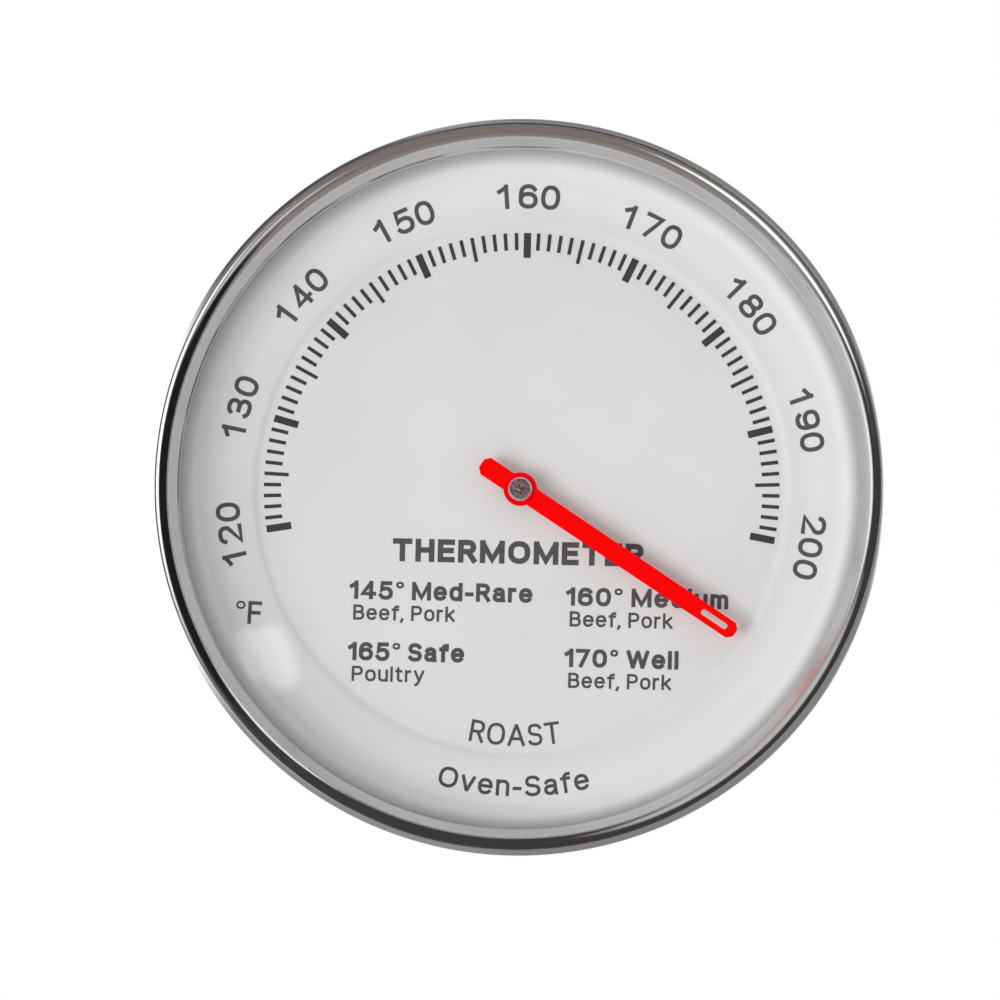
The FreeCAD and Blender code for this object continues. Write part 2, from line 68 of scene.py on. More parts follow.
# ---------------------------------------------------------------------------------------------
# Ways to write a material
# ---------------------------------------------------------------------------------------------
class Tree:
    """A node tree with short ways to add nodes to it."""

    def __init__(self, tree):
        self.tree = tree
        tree.nodes.clear()

    def node(self, kind, inputs=None, **settings):
        """A new node. inputs gives each input, by name or number, a value or another socket."""
        made = self.tree.nodes.new(kind)
        for name, value in settings.items():
            setattr(made, name, value)
        for name, value in (inputs or {}).items():
            if isinstance(value, bpy.types.NodeSocket):
                self.tree.links.new(value, made.inputs[name])
            else:
                made.inputs[name].default_value = value
        return made

    def math(self, operation, first, second=0.0):
        return self.node("ShaderNodeMath", {0: first, 1: second}, operation=operation).outputs[0]

    def vector(self, operation, first, second, output="Vector"):
        made = self.node("ShaderNodeVectorMath", {0: first, 1: second}, operation=operation)
        return made.outputs[output]

    def fade(self, value, start, end, low=0.0, high=1.0):
        """A smooth change from low to high as value goes from start to end."""
        inputs = {"Value": value, "From Min": start, "From Max": end, "To Min": low, "To Max": high}
        made = self.node("ShaderNodeMapRange", inputs, interpolation_type="SMOOTHSTEP")
        return made.outputs["Result"]

    def mix(self, share, first, second):
        """first where share is 0 and second where it is 1, as a colour."""
        made = self.node("ShaderNodeMix", {"Factor": share}, data_type="RGBA")
        for socket, colour in ((made.inputs[6], first), (made.inputs[7], second)):
            if isinstance(colour, bpy.types.NodeSocket):
                self.tree.links.new(colour, socket)
            else:
                socket.default_value = (*colour, 1.0)
        return made.outputs[2]

    def noise(self, place, scale, detail=3.0, roughness=0.55):
        inputs = {"Vector": place, "Scale": scale, "Detail": detail, "Roughness": roughness}
        return self.node("ShaderNodeTexNoise", inputs).outputs["Fac"]

    def bump(self, height, depth):
        """A normal for a relief of that depth in metres, where height goes from 0 to 1."""
        inputs = {"Height": height, "Distance": depth, "Strength": 1.0}
        return self.node("ShaderNodeBump", inputs).outputs["Normal"]


class Finish(Tree):
    """A material whose nodes read the place on the object."""

    def __init__(self, name):
        self.material = bpy.data.materials.new(name)
        self.material.use_nodes = True
        super().__init__(self.material.node_tree)
        self.place = self.node("ShaderNodeTexCoord").outputs["Object"]

    def from_axis(self):
        """The distance from the thermometer's axis."""
        across = self.vector("MULTIPLY", self.place, (1, 0, 1))
        return self.vector("LENGTH", across, (0, 0, 0), "Value")

    def turned(self):
        """A place that is the same all round the axis, for lines left by turning or spinning."""
        along = self.node("ShaderNodeSeparateXYZ", {0: self.place}).outputs["Y"]
        return self.node("ShaderNodeCombineXYZ", {0: self.from_axis(), 1: along}).outputs[0]

    def drawn(self):
        """A place stretched along the axis, for lines left by drawing tube or wire."""
        return self.vector("MULTIPLY", self.place, (1, 0.02, 1))

    def finished(self, shader):
        output = self.node("ShaderNodeOutputMaterial")
        self.tree.links.new(shader.outputs[0], output.inputs["Surface"])
        return self.material

    def surface(self, colour, roughness, normal=None, **more):
        """A Principled surface. Each word in more is an input's name, with _ for a space."""
        inputs = {name.replace("_", " "): value for name, value in more.items()}
        socket = isinstance(colour, bpy.types.NodeSocket)
        inputs["Roughness"] = roughness
        inputs["Base Color"] = colour if socket else (*colour, 1.0)
        if normal is not None:
            inputs["Normal"] = normal
        return self.finished(self.node("ShaderNodeBsdfPrincipled", inputs))


# ---------------------------------------------------------------------------------------------
# The finishes
# ---------------------------------------------------------------------------------------------
def lined_metal(name, colour, roughness, lines_place, line=0.12 * MM, depth=0.002 * MM):
    """Bare metal with fine lines: lines_place picks turned or drawn, and line is their spacing."""
    finish = Finish(name)
    lines = finish.noise(lines_place(finish), 1 / line)
    smears = finish.noise(finish.place, 1 / (6 * MM))
    shade = finish.mix(lines, [c * 0.86 for c in colour], [min(c * 1.1, 1) for c in colour])
    worn = finish.math("ADD", lines, finish.math("MULTIPLY", smears, 0.5))
    gloss = finish.fade(worn, 0.4, 1.1, roughness * 0.8, roughness * 1.25)
    return finish.surface(shade, gloss, finish.bump(lines, depth), Metallic=1.0)


def polished_bezel(name):
    """Stainless steel polished on a lathe: a mirror with faint lines, duller inside its mouth."""
    finish = Finish(name)
    place = finish.turned()
    lines = finish.noise(place, 1 / (0.16 * MM), detail=2.0)
    wide_lines = finish.noise(place, 1 / (0.5 * MM), detail=1.0)
    smears = finish.noise(finish.place, 1 / (8 * MM))
    shade = finish.mix(wide_lines, (0.62, 0.61, 0.6), (0.86, 0.85, 0.84))
    gloss = finish.fade(finish.math("ADD", lines, smears), 0.6, 1.5, 0.07, 0.17)
    mouth = finish.fade(finish.from_axis(), 34.9 * MM, 34.5 * MM, 0.0, 0.2)
    gloss = finish.math("ADD", gloss, mouth)
    return finish.surface(shade, gloss, finish.bump(lines, 0.0016 * MM), Metallic=1.0)


def clear_lens(name):
    """Flat glass. It lets light straight through and mirrors a little, more at a low angle."""
    finish = Finish(name)
    clear = finish.node("ShaderNodeBsdfTransparent", {"Color": (0.983, 0.988, 0.986, 1.0)})
    mirror = finish.node("ShaderNodeBsdfGlossy", {"Roughness": 0.0, "Color": (1, 1, 1, 1)})
    facing = finish.node("ShaderNodeFresnel", {"IOR": 1.5}).outputs[0]
    inside = finish.node("ShaderNodeNewGeometry").outputs["Backfacing"]
    smudges = finish.fade(finish.noise(finish.place, 1 / (11 * MM)), 0.3, 0.8, 0.8, 1.1)
    share = finish.math("MULTIPLY", facing, finish.math("SUBTRACT", 1.0, inside))
    share = finish.math("MULTIPLY", share, smudges)
    inputs = {0: share, 1: clear.outputs[0], 2: mirror.outputs[0]}
    return finish.finished(finish.node("ShaderNodeMixShader", inputs))


def silver_dial(name):
    """Satin silver lacquer with a pearly grain; painted light makes the number band paler, and
    painted shade greys the edge next to the bezel.
    """
    finish = Finish(name)
    grain = finish.noise(finish.place, 1 / (0.05 * MM), detail=2.0)
    cloud = finish.noise(finish.place, 1 / (14 * MM), detail=2.0)
    grain_share = finish.math("MULTIPLY", grain, 0.35)
    share = finish.math("ADD", grain_share, finish.math("MULTIPLY", cloud, 0.65))
    shade = finish.mix(finish.fade(share, 0.3, 0.7), (0.74, 0.74, 0.737), (0.785, 0.785, 0.788))
    # painted light: the number band is made paler to make up for the shade the bezel casts on it
    painted_band_light = finish.fade(finish.from_axis(), 27.0 * MM, 30.0 * MM)
    shade = finish.mix(painted_band_light, shade, (0.84, 0.84, 0.843))
    # painted shade: the dial greys towards its edge, as if the bezel's wall hid the light there
    painted_rim_shade = finish.fade(finish.from_axis(), 32.4 * MM, 33.9 * MM)
    shade = finish.mix(painted_rim_shade, shade, (0.42, 0.42, 0.425))
    gloss = finish.fade(grain, 0.3, 0.7, 0.4, 0.5)
    return finish.surface(shade, gloss, finish.bump(grain, 0.0002 * MM), Metallic=0.1)


def dial_ink(name, colour):
    """Screen print, a little thinner and paler where the mesh of the screen left it so."""
    finish = Finish(name)
    weave = finish.noise(finish.place, 1 / (0.09 * MM), detail=1.0)
    shade = finish.mix(weave, colour, [c * 1.7 for c in colour])
    return finish.surface(shade, finish.fade(weave, 0.3, 0.7, 0.5, 0.65), Specular_IOR_Level=0.3)


def red_enamel(name):
    """Flat bright red enamel, a deeper red in a ring round the hub."""
    finish = Finish(name)
    grain = finish.noise(finish.place, 1 / (0.3 * MM), detail=2.0)
    shade = finish.mix(grain, (0.9, 0.0, 0.0), (0.96, 0.001, 0.001))
    rim = finish.fade(finish.from_axis(), 1.62 * MM, 1.45 * MM)
    shade = finish.mix(finish.math("MULTIPLY", rim, 0.35), shade, (0.5, 0.0, 0.02))
    return finish.surface(shade, finish.fade(grain, 0.3, 0.7, 0.5, 0.6), Specular_IOR_Level=0.0)


def dull_bush(name):
    """A tinned bronze bush: a mauve-brown face inside a pale rim of bare metal, whose brightness is
    partly a painted highlight along its edge.
    """
    finish = Finish(name)
    blotch = finish.noise(finish.place, 1 / (0.25 * MM))
    face = finish.mix(finish.fade(blotch, 0.35, 0.65), (0.24, 0.12, 0.17), (0.56, 0.4, 0.44))
    # painted highlight: the pale rim stands in for the light caught on the bush's edge, on top of
    # its bare metal
    rim = finish.fade(finish.from_axis(), 0.98 * MM, 1.08 * MM)
    shade = finish.mix(rim, face, (0.85, 0.78, 0.74))
    gloss = finish.fade(blotch, 0.3, 0.7, 0.3, 0.45)
    return finish.surface(shade, gloss, finish.bump(blotch, 0.01 * MM), Metallic=0.8)


def staked_wire(name):
    """Straw tinted wire, with the small dents of the punch that spread its end."""
    finish = Finish(name)
    dents = finish.noise(finish.place, 1 / (0.22 * MM), detail=1.0)
    shade = finish.mix(finish.fade(dents, 0.45, 0.65), (0.2, 0.11, 0.06), (1.0, 0.86, 0.64))
    return finish.surface(shade, 0.28, finish.bump(dents, 0.06 * MM), Metallic=0.9)


def moulded(name, colour, roughness):
    """Rubber or plastic with a fine moulded grain and a slightly uneven colour."""
    finish = Finish(name)
    fine = finish.noise(finish.place, 1 / (0.25 * MM), detail=2.0)
    cloud = finish.noise(finish.place, 1 / (3 * MM), detail=2.0)
    shade = finish.mix(cloud, [c * 0.82 for c in colour], [min(c * 1.15, 1) for c in colour])
    gloss = finish.fade(fine, 0.3, 0.7, roughness * 0.9, min(roughness * 1.2, 1))
    return finish.surface(shade, gloss, finish.bump(fine, 0.004 * MM))


def matt_paint(name, colour):
    """Smooth matt paint, very faintly uneven."""
    finish = Finish(name)
    cloud = finish.noise(finish.place, 1 / (90 * MM), detail=2.0)
    shade = finish.mix(cloud, [c * 0.97 for c in colour], colour)
    return finish.surface(shade, finish.fade(cloud, 0.3, 0.7, 0.8, 0.9))


def put_on(material, *nodes):
    for name in nodes:
        slots = NODES[name].material_slots
        for slot in slots:
            slot.material = material
        if not slots:
            NODES[name].data.materials.append(material)


STEEL = (0.66, 0.655, 0.645)
BRASS = (0.8, 0.6, 0.27)
put_on(lined_metal("stem_steel", STEEL, 0.24, Finish.drawn), "stem_tube", "stem_tip")
put_on(
    lined_metal("collar_steel", STEEL, 0.26, Finish.turned),
    "stem_collar",
    "thrust_collar",
    "coil_collar",
)
put_on(lined_metal("nut_steel", (0.6, 0.595, 0.585), 0.3, Finish.turned), "calibration_nut")
CASE_STEEL = (0.62, 0.615, 0.605)
put_on(lined_metal("case_steel", CASE_STEEL, 0.27, Finish.turned, line=0.2 * MM), "case_cup")
put_on(clear_lens("lens_glass"), "lens")
put_on(silver_dial("dial_silver"), "dial_plate")
put_on(red_enamel("pointer_red"), "pointer")
put_on(dull_bush("bush_bronze"), "pointer_bush")
put_on(staked_wire("spindle_steel"), "spindle")
put_on(moulded("seal_rubber", (0.42, 0.11, 0.07), 0.6), "seal_washer")
put_on(moulded("gasket_silicone", (0.66, 0.66, 0.65), 0.45), "lens_gasket")
put_on(moulded("washer_ptfe", (0.86, 0.86, 0.84), 0.5), "friction_washer")
put_on(lined_metal("spring_steel", (0.45, 0.45, 0.46), 0.3, Finish.turned), "spring_washer")
put_on(
    lined_metal("guide_brass", BRASS, 0.25, Finish.turned),
    "upper_guide_bush",
    "middle_guide_bush",
    "lower_guide_bush",
    "coil_anchor",
)
put_on(lined_metal("bimetal_strip", (0.5, 0.47, 0.42), 0.35, Finish.drawn), "bimetal_coil")


# ---------------------------------------------------------------------------------------------
# The bezel, turned finely enough to mirror the room without flats
# ---------------------------------------------------------------------------------------------
TURNS = 360  # faces round the axis
SHARP_BEND = 35  # degrees
SAME_PLACE = 1e-7  # points nearer to each other than this are one


def seam_outline(name):
    """The outline of a turned node in the plane z = 0, where x is above 0, in order round it."""
    mesh = bmesh.new()
    mesh.from_mesh(NODES[name].data)
    bmesh.ops.remove_doubles(mesh, verts=mesh.verts, dist=SAME_PLACE)
    on_seam = {v for v in mesh.verts if abs(v.co.z) < SAME_PLACE and v.co.x > 0}
    start = next(v for v in mesh.verts if v in on_seam)
    outline = [start]
    ahead = start
    while ahead is not None:
        beside = [e.other_vert(ahead) for e in ahead.link_edges]
        beside = [v for v in beside if v in on_seam and v not in outline]
        ahead = beside[0] if beside else None
        if ahead is not None:
            outline.append(ahead)
    points = [(v.co.x, v.co.y) for v in outline]
    mesh.free()
    return points


def turn_smoothly(name, piece_name, body, material):
    """A finer copy of a turned node, which stands for it."""
    points = seam_outline(name)
    mesh = bmesh.new()
    rings = []
    for step in range(TURNS):
        turn = math.tau * step / TURNS
        c, s = math.cos(turn), math.sin(turn)
        rings.append([mesh.verts.new((r * c, y, r * s)) for r, y in points])
    for ring_a, ring_b in zip(rings, rings[1:] + rings[:1]):
        for i in range(len(points)):
            mesh.faces.new((ring_a[i - 1], ring_a[i], ring_b[i], ring_b[i - 1]))
    bmesh.ops.recalc_face_normals(mesh, faces=mesh.faces)
    data = bpy.data.meshes.new(piece_name)
    mesh.to_mesh(data)
    mesh.free()
    data.shade_smooth()
    data.set_sharp_from_angle(angle=math.radians(SHARP_BEND))
    piece = bpy.data.objects.new(piece_name, data)
    bpy.context.collection.objects.link(piece)
    data.materials.append(material)
    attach(piece, body)
    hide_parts(name)


turn_smoothly("bezel_ring", "bezel", "head", polished_bezel("bezel_steel"))


# ---------------------------------------------------------------------------------------------
# Lettering: each letter is a few strokes, drawn with capitals 1 high on a base line at 0
# ---------------------------------------------------------------------------------------------
SQUARENESS = 2.35  # 2 is an ellipse; more is squarer
ARC_STEPS = 20  # points in a full turn
SMALL = 0.75  # the height of small letters


def arc(x, z, across, up, start, end):
    """Points round (x, z) from start to end degrees, anticlockwise if end is more than start."""
    steps = max(2, round(ARC_STEPS * abs(end - start) / 360))
    points = []
    for step in range(steps + 1):
        turn = math.radians(start + (end - start) * step / steps)
        c, s = math.cos(turn), math.sin(turn)
        points.append(
            (
                x + across * math.copysign(abs(c) ** (2 / SQUARENESS), c),
                z + up * math.copysign(abs(s) ** (2 / SQUARENESS), s),
            )
        )
    return points


def ring(x, z, across, up):
    """A closed round stroke: it ends where it starts."""
    return arc(x, z, across, up, 0, 360)


def half_turned(strokes, across, up):
    """The strokes turned by half a turn within a box of that size."""
    return [[(across - x, up - z) for x, z in stroke] for stroke in strokes]


SIX = [arc(0.28, 0.56, 0.28, 0.44, 38, 180) + [(0, 0.3)], ring(0.275, 0.31, 0.275, 0.31)]
SMALL_N = [[(0, 0), (0, SMALL)], [(0, 0.42)] + arc(0.22, 0.5, 0.22, 0.25, 180, 0) + [(0.44, 0)]]

# each letter's width between the middles of its outer strokes, and its strokes
LETTERS = {
    " ": (0.05, []),
    "0": (0.56, [ring(0.28, 0.5, 0.28, 0.5)]),
    "1": (0.25, [[(0.25, 0), (0.25, 1)], [(0, 0.76), (0.22, 0.93)]]),
    "2": (0.54, [arc(0.265, 0.72, 0.255, 0.28, 168, -28) + [(0.0, 0.0), (0.54, 0)]]),
    "3": (
        0.55,
        [
            arc(0.265, 0.755, 0.235, 0.245, 155, -90) + [(0.17, 0.51)],
            [(0.17, 0.51)] + arc(0.275, 0.255, 0.275, 0.255, 90, -155),
        ],
    ),
    "4": (0.6, [[(0.44, 0), (0.44, 1)], [(0.41, 0.95), (0, 0.25), (0.6, 0.25)]]),
    "5": (0.55, [[(0.5, 1), (0.1, 1)] + arc(0.27, 0.31, 0.28, 0.32, 140, -155)]),
    "6": (0.55, SIX),
    "7": (0.52, [[(0, 1), (0.52, 1), (0.17, 0)]]),
    "8": (0.55, [ring(0.275, 0.76, 0.235, 0.24), ring(0.275, 0.26, 0.275, 0.26)]),
    "9": (0.55, half_turned(SIX, 0.55, 1)),
    "°": (0.14, [ring(0.13, 0.89, 0.15, 0.16)]),
    ",": (0.0, [[(0.0, 0.0), (-0.06, -0.14)]]),
    "-": (0.24, [[(0, 0.36), (0.24, 0.36)]]),
    "A": (0.68, [[(0, 0), (0.32, 0.98)], [(0.36, 0.98), (0.68, 0)], [(0.12, 0.3), (0.56, 0.3)]]),
    "B": (
        0.54,
        [
            [(0, 0), (0, 1), (0.24, 1)] + arc(0.26, 0.765, 0.23, 0.235, 90, -90) + [(0, 0.53)],
            [(0, 0.53), (0.26, 0.53)] + arc(0.28, 0.265, 0.26, 0.265, 90, -90) + [(0, 0)],
        ],
    ),
    "E": (0.48, [[(0.48, 1), (0, 1), (0, 0), (0.48, 0)], [(0, 0.52), (0.44, 0.52)]]),
    "F": (0.46, [[(0.46, 1), (0, 1), (0, 0)], [(0, 0.5), (0.42, 0.5)]]),
    "H": (0.56, [[(0, 0), (0, 1)], [(0.56, 0), (0.56, 1)], [(0, 0.52), (0.56, 0.52)]]),
    "M": (0.8, [[(0, 0), (0, 1)], [(0.02, 0.96), (0.4, 0.06), (0.78, 0.96)], [(0.8, 1), (0.8, 0)]]),
    "O": (0.7, [ring(0.35, 0.5, 0.35, 0.5)]),
    "P": (0.52, [[(0, 0), (0, 1), (0.26, 1)] + arc(0.28, 0.73, 0.24, 0.27, 90, -90) + [(0, 0.46)]]),
    "R": (
        0.54,
        [
            [(0, 0), (0, 1), (0.26, 1)] + arc(0.28, 0.74, 0.24, 0.26, 90, -90) + [(0, 0.48)],
            [(0.33, 0.4), (0.54, 0)],
        ],
    ),
    "S": (0.54, [arc(0.27, 0.755, 0.25, 0.245, 22, 235) + arc(0.27, 0.255, 0.27, 0.255, 60, -155)]),
    "T": (0.58, [[(0, 1), (0.58, 1)], [(0.29, 1), (0.29, 0)]]),
    "W": (
        0.98,
        [
            [(0, 0.98), (0.23, 0.02)],
            [(0.25, 0.02), (0.47, 0.94)],
            [(0.51, 0.94), (0.73, 0.02)],
            [(0.75, 0.02), (0.98, 0.98)],
        ],
    ),
    "a": (
        0.46,
        [
            arc(0.23, 0.54, 0.2, 0.21, 158, 0) + [(0.43, 0.14), (0.46, 0)],
            [(0.43, 0.43), (0.22, 0.42)] + arc(0.2, 0.21, 0.2, 0.21, 95, 290) + [(0.43, 0.2)],
        ],
    ),
    "d": (0.48, [[(0.48, 0), (0.48, 1)], ring(0.24, 0.375, 0.24, 0.375)]),
    "e": (0.5, [[(0, 0.39), (0.5, 0.39)] + arc(0.25, 0.375, 0.25, 0.375, 8, 318)]),
    "f": (0.3, [arc(0.3, 0.8, 0.19, 0.2, 88, 180) + [(0.11, 0)], [(0, SMALL), (0.3, SMALL)]]),
    "i": (0.0, [[(0, 0), (0, 0.7)], [(0, 1.06), (0, 1.09)]]),
    "k": (0.44, [[(0, 0), (0, 1)], [(0.42, SMALL), (0, 0.27)], [(0.15, 0.42), (0.44, 0)]]),
    "l": (0.0, [[(0, 0), (0, 1)]]),
    "m": (
        0.7,
        [
            [(0, 0), (0, SMALL)],
            [(0, 0.42)] + arc(0.175, 0.52, 0.175, 0.23, 180, 0) + [(0.35, 0)],
            [(0.35, 0.42)] + arc(0.525, 0.52, 0.175, 0.23, 180, 0) + [(0.7, 0)],
        ],
    ),
    "n": (0.44, SMALL_N),
    "o": (0.5, [ring(0.25, 0.375, 0.25, 0.375)]),
    "r": (0.25, [[(0, 0), (0, SMALL)], [(0, 0.42)] + arc(0.22, 0.47, 0.22, 0.27, 180, 88)]),
    "t": (
        0.3,
        [[(0.11, 0.95)] + arc(0.28, 0.18, 0.17, 0.18, 180, 275), [(0, SMALL), (0.29, SMALL)]],
    ),
    "u": (0.44, half_turned(SMALL_N, 0.44, SMALL)),
    "v": (0.48, [[(0, SMALL), (0.22, 0.03)], [(0.26, 0.03), (0.48, SMALL)]]),
    "y": (
        0.48,
        [
            [(0, SMALL), (0.24, 0.04)],
            [(0.48, SMALL), (0.2, -0.08)] + arc(0.03, -0.08, 0.13, 0.16, -20, -90),
        ],
    ),
}


LONGEST_MITRE = 0.6  # a corner's mitre is no longer than the half width over this


def offset_sides(points, half):
    """The two sides of a stroke of that half width, with mitred corners and square ends."""
    points = [Vector(p) for p in points]
    points = [p for i, p in enumerate(points) if i == 0 or (p - points[i - 1]).length > half * 0.02]
    closed = (points[0] - points[-1]).length < half * 0.2
    if closed:
        points = points[:-1]
    count = len(points)
    sides = []
    for i, point in enumerate(points):
        before = points[i - 1] if closed or i else None
        after = points[(i + 1) % count] if closed or i < count - 1 else None
        arriving = (point - before).normalized() if before is not None else None
        leaving = (after - point).normalized() if after is not None else None
        run = leaving if arriving is None else arriving if leaving is None else arriving + leaving
        if run.length < 1e-6:
            run = arriving
        run = run.normalized()
        across = Vector((-run.y, run.x))
        reach = half
        if arriving is not None and leaving is not None:
            reach = half / max(across.dot(Vector((-arriving.y, arriving.x))), LONGEST_MITRE)
        end = Vector((0, 0))
        if arriving is None:
            end = -run * half
        elif leaving is None:
            end = run * half
        sides.append((point + end + across * reach, point + end - across * reach))
    if closed:
        sides.append(sides[0])
    return sides


# ---------------------------------------------------------------------------------------------
# Print on the dial
# ---------------------------------------------------------------------------------------------
INK_THICKNESS = 0.02 * MM
INK_KEY = 0.01 * MM  # how far the ink reaches into the lacquer
INK_LIFT = 0.0001 * MM  # each step along the strokes is this much higher than the one before,
INK_LEVELS = 150  # up to this many steps, so that no two tops coincide where strokes cross
GAP_BETWEEN_LETTERS = 0.13
DEGREE_THINNER = 0.55  # the stroke of a degree sign beside that of the letters

shape = bpy.context.evaluated_depsgraph_get()
dial_surface = BVHTree.FromObject(NODES["dial_plate"], shape)
IN_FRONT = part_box("lens")[0].y


def dial_depth(x, z):
    """Where a line along +Y at (x, z) meets the front of the dial."""
    hit = dial_surface.ray_cast(Vector((x, IN_FRONT, z)), Vector((0, 1, 0)))[0]
    return hit.y


class Print:
    """A mesh of thin ink on the dial. A mark's place is given in metres across the dial."""

    def __init__(self):
        self.mesh = bmesh.new()
        self.steps = 0

    def strip(self, sides):
        """A closed thin strip of ink between pairs of points on its two sides."""
        rows = []
        for left, right in sides:
            row = []
            top = INK_THICKNESS + INK_LIFT * (self.steps % INK_LEVELS)
            for x, z in (left, right):
                depth = dial_depth(x, z)
                row.append(self.mesh.verts.new((x, depth - top, z)))
                row.append(self.mesh.verts.new((x, depth + INK_KEY, z)))
            rows.append(row)
            self.steps += 1
        for (a, b, c, d), (e, f, g, h) in zip(rows, rows[1:]):
            for face in ((a, c, g, e), (b, f, h, d), (a, e, f, b), (c, d, h, g)):
                self.mesh.faces.new(face)
        if (Vector(sides[0][0]) - Vector(sides[-1][0])).length > INK_THICKNESS:
            a, b, c, d = rows[0]
            self.mesh.faces.new((a, b, d, c))
            a, b, c, d = rows[-1]
            self.mesh.faces.new((a, c, d, b))

    def finish(self, name, material):
        bmesh.ops.remove_doubles(self.mesh, verts=self.mesh.verts, dist=1e-8)
        bmesh.ops.recalc_face_normals(self.mesh, faces=self.mesh.faces)
        data = bpy.data.meshes.new(name)
        self.mesh.to_mesh(data)
        self.mesh.free()
        piece = bpy.data.objects.new(name, data)
        bpy.context.collection.objects.link(piece)
        data.materials.append(material)
        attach(piece, "head")
        return piece


def set_words(words, cap, stroke, length):
    """Each letter's middle, strokes and half stroke width, for words that long from end to end."""
    thin = stroke / cap
    letters = []
    place = 0.0
    for letter in words:
        across, strokes = LETTERS[letter]
        half = stroke / 2 * (DEGREE_THINNER if letter == "°" else 1)
        letters.append((place + (across + thin) / 2, across, strokes, half))
        place += across + thin + GAP_BETWEEN_LETTERS
    total = place - GAP_BETWEEN_LETTERS
    stretch = length / total
    placed = []
    for middle, across, strokes, half in letters:
        drawn = []
        for points in strokes:
            up = [stroke / 2 + z * (cap - stroke if z >= 0 else cap) for _, z in points]
            drawn.append([((x - across / 2) * stretch, z) for (x, _), z in zip(points, up)])
        placed.append(((middle - total / 2) * stretch, drawn, half))
    return placed


def write_line(ink, words, middle, base, cap, stroke, length, turn=0.0):
    """Words on a straight base line, turned anticlockwise by turn degrees about their middle."""
    spin = Matrix.Rotation(math.radians(turn), 2)
    for along, strokes, half in set_words(words, cap, stroke, length):
        for points in strokes:
            sides = [
                [spin @ (side + Vector((along, 0))) + Vector((middle, base)) for side in pair]
                for pair in offset_sides(points, half)
            ]
            ink.strip(sides)


def write_arc(ink, words, radius, angle, cap, stroke, length, over=True):
    """Words whose letters' middles lie on a circle. angle is clockwise from the top, in degrees.

    Over the top the letters stand on the circle's outside; otherwise they hang inside its foot.
    """
    way = 1 if over else -1
    base = radius - way * cap / 2
    for along, strokes, half in set_words(words, cap, stroke, length):
        turn = math.radians(angle) + way * along / radius
        outward = Vector((math.sin(turn), math.cos(turn)))
        rightward = Vector((math.cos(turn), -math.sin(turn)))
        for points in strokes:
            sides = [
                [outward * (base + way * side.y) + rightward * way * side.x for side in pair]
                for pair in offset_sides(points, half)
            ]
            ink.strip(sides)


LOWEST = 120
HIGHEST = 200
TOP = 160
DEGREES_OF_TURN = 2.5  # for each degree of temperature

TICK_END = 25.85 * MM  # from the axis to the outer ends of the ticks
TICK_LONG = 1.73 * MM
TICK_WIDE = 0.36 * MM
FIVES_LONG = 2.45 * MM
TENS_LONG = 2.5 * MM
TENS_WIDE = 0.72 * MM

FIGURES_RADIUS = 29.48 * MM
FIGURES_CAP = 2.45 * MM
FIGURES_STROKE = 0.42 * MM
FIGURES_PITCH = 2.25 * MM
FIGURE_WIDE = 1.95 * MM
ONE_WIDE = 1.2 * MM
ONE_ASIDE = 0.28 * MM  # a one stands left of the middle of its place

# the degree sign and the F: each one's middle and width
UNIT_SIGNS = (("°", -27.98 * MM, 0.72 * MM), ("F", -26.41 * MM, 1.35 * MM))
UNIT_BASE = -14.07 * MM
UNIT_CAP = 2.3 * MM
UNIT_STROKE = 0.36 * MM
UNIT_TURN = -2.0  # degrees


def make_scale(material):
    """A tick for each degree, longer at each five and broad at each ten."""
    ink = Print()
    for degree in range(LOWEST, HIGHEST + 1):
        turn = math.radians((degree - TOP) * DEGREES_OF_TURN)
        outward = Vector((math.sin(turn), math.cos(turn)))
        across = Vector((outward.y, -outward.x))
        ten = degree % 10 == 0
        length = TENS_LONG if ten else FIVES_LONG if degree % 5 == 0 else TICK_LONG
        half = (TENS_WIDE if ten else TICK_WIDE) / 2
        ends = [outward * radius for radius in (TICK_END, TICK_END - length)]
        ink.strip([(end - across * half, end + across * half) for end in ends])
    ink.finish("dial_scale", material)


def make_figures(material):
    """The number beside every tenth degree, and the sign for the unit."""
    ink = Print()
    for number in range(LOWEST, HIGHEST + 1, 10):
        for place, figure in enumerate(str(number)):
            along = (place - 1) * FIGURES_PITCH - (ONE_ASIDE if figure == "1" else 0)
            angle = (number - TOP) * DEGREES_OF_TURN + math.degrees(along / FIGURES_RADIUS)
            wide = ONE_WIDE if figure == "1" else FIGURE_WIDE
            write_arc(ink, figure, FIGURES_RADIUS, angle, FIGURES_CAP, FIGURES_STROKE, wide)
    for sign, middle, length in UNIT_SIGNS:
        write_line(ink, sign, middle, UNIT_BASE, UNIT_CAP, UNIT_STROKE, length, turn=UNIT_TURN)
    ink.finish("dial_figures", material)


BOLD = 0.4 * MM
LIGHT = 0.25 * MM
HEADING_CAP = 1.85 * MM
NOTE_CAP = 1.53 * MM
NOTE_DROP = 2.08 * MM  # from a heading's base line to its note's
# each heading's left end, base line and length, and its note's length
ADVICE = (
    ("145° Med-Rare", "Beef, Pork", -16.95, -11.28, 18.35, 10.2),
    ("165° Safe", "Poultry", -16.95, -17.42, 11.65, 7.3),
    ("160° Medium", "Beef, Pork", 4.75, -11.45, 16.25, 10.3),
    ("170° Well", "Beef, Pork", 4.75, -17.59, 11.4, 10.3),
)


